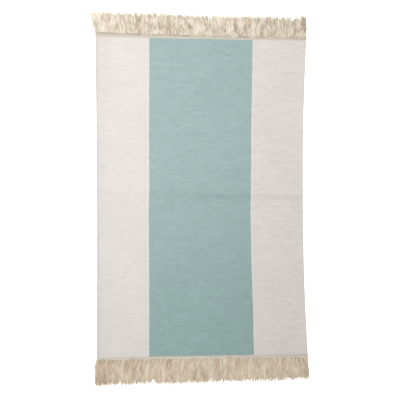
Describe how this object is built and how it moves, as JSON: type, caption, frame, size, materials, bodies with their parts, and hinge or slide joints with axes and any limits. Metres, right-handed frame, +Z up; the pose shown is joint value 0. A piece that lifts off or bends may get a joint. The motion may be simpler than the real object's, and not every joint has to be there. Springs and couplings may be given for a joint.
{
  "type": "bath mat",
  "caption": "Flat-woven cotton bath mat: white, grey-teal and white panels of weft side by side, cream header bands, twined ends and a natural warp fringe at both short ends.",
  "frame": {"origin": "bottom centre of the whole mat's bounding box, on the floor that it lies on", "axes": "+Z up out of the mat's face; +Y along the mat, towards the end whose left corner reaches furthest; +X across the mat"},
  "size_m": [0.6128, 1.0604, 0.005],
  "materials": {
    "white_weft": "matt, weft-faced flat weave",
    "teal_weft": "matt, weft-faced flat weave",
    "cream_weft": "matt, plain weave",
    "natural_warp": "matt, loosely plied yarn"
  },
  "bodies": {
    "root": {"left_panel": "white_weft", "right_panel": "white_weft", "centre_panel": "teal_weft", "left_selvedge_cord": "white_weft", "right_selvedge_cord": "white_weft", "top_header_band": "cream_weft", "bottom_header_band": "cream_weft", "top_twining_cord": "natural_warp", "bottom_twining_cord": "natural_warp", "warp_bundle_01": "natural_warp", "warp_bundle_02": "natural_warp", "warp_bundle_03": "natural_warp", "warp_bundle_04": "natural_warp", "warp_bundle_05": "natural_warp", "warp_bundle_06": "natural_warp", "warp_bundle_07": "natural_warp", "warp_bundle_08": "natural_warp", "warp_bundle_09": "natural_warp", "warp_bundle_10": "natural_warp", "warp_bundle_11": "natural_warp", "warp_bundle_12": "natural_warp", "warp_bundle_13": "natural_warp", "warp_bundle_14": "natural_warp", "warp_bundle_15": "natural_warp", "warp_bundle_16": "natural_warp", "warp_bundle_17": "natural_warp", "warp_bundle_18": "natural_warp", "warp_bundle_19": "natural_warp", "warp_bundle_20": "natural_warp", "warp_bundle_21": "natural_warp", "warp_bundle_22": "natural_warp", "warp_bundle_23": "natural_warp", "warp_bundle_24": "natural_warp", "warp_bundle_25": "natural_warp", "warp_bundle_26": "natural_warp", "warp_bundle_27": "natural_warp", "warp_bundle_28": "natural_warp", "warp_bundle_29": "natural_warp", "warp_bundle_30": "natural_warp", "warp_bundle_31": "natural_warp", "warp_bundle_32": "natural_warp", "warp_bundle_33": "natural_warp", "warp_bundle_34": "natural_warp", "warp_bundle_35": "natural_warp", "warp_bundle_36": "natural_warp", "warp_bundle_37": "natural_warp", "warp_bundle_38": "natural_warp", "warp_bundle_39": "natural_warp", "warp_bundle_40": "natural_warp", "warp_bundle_41": "natural_warp", "warp_bundle_42": "natural_warp", "warp_bundle_43": "natural_warp", "warp_bundle_44": "natural_warp", "warp_bundle_45": "natural_warp", "warp_bundle_46": "natural_warp", "warp_bundle_47": "natural_warp", "warp_bundle_48": "natural_warp", "warp_bundle_49": "natural_warp", "warp_bundle_50": "natural_warp"}
  },
  "joints": []
}
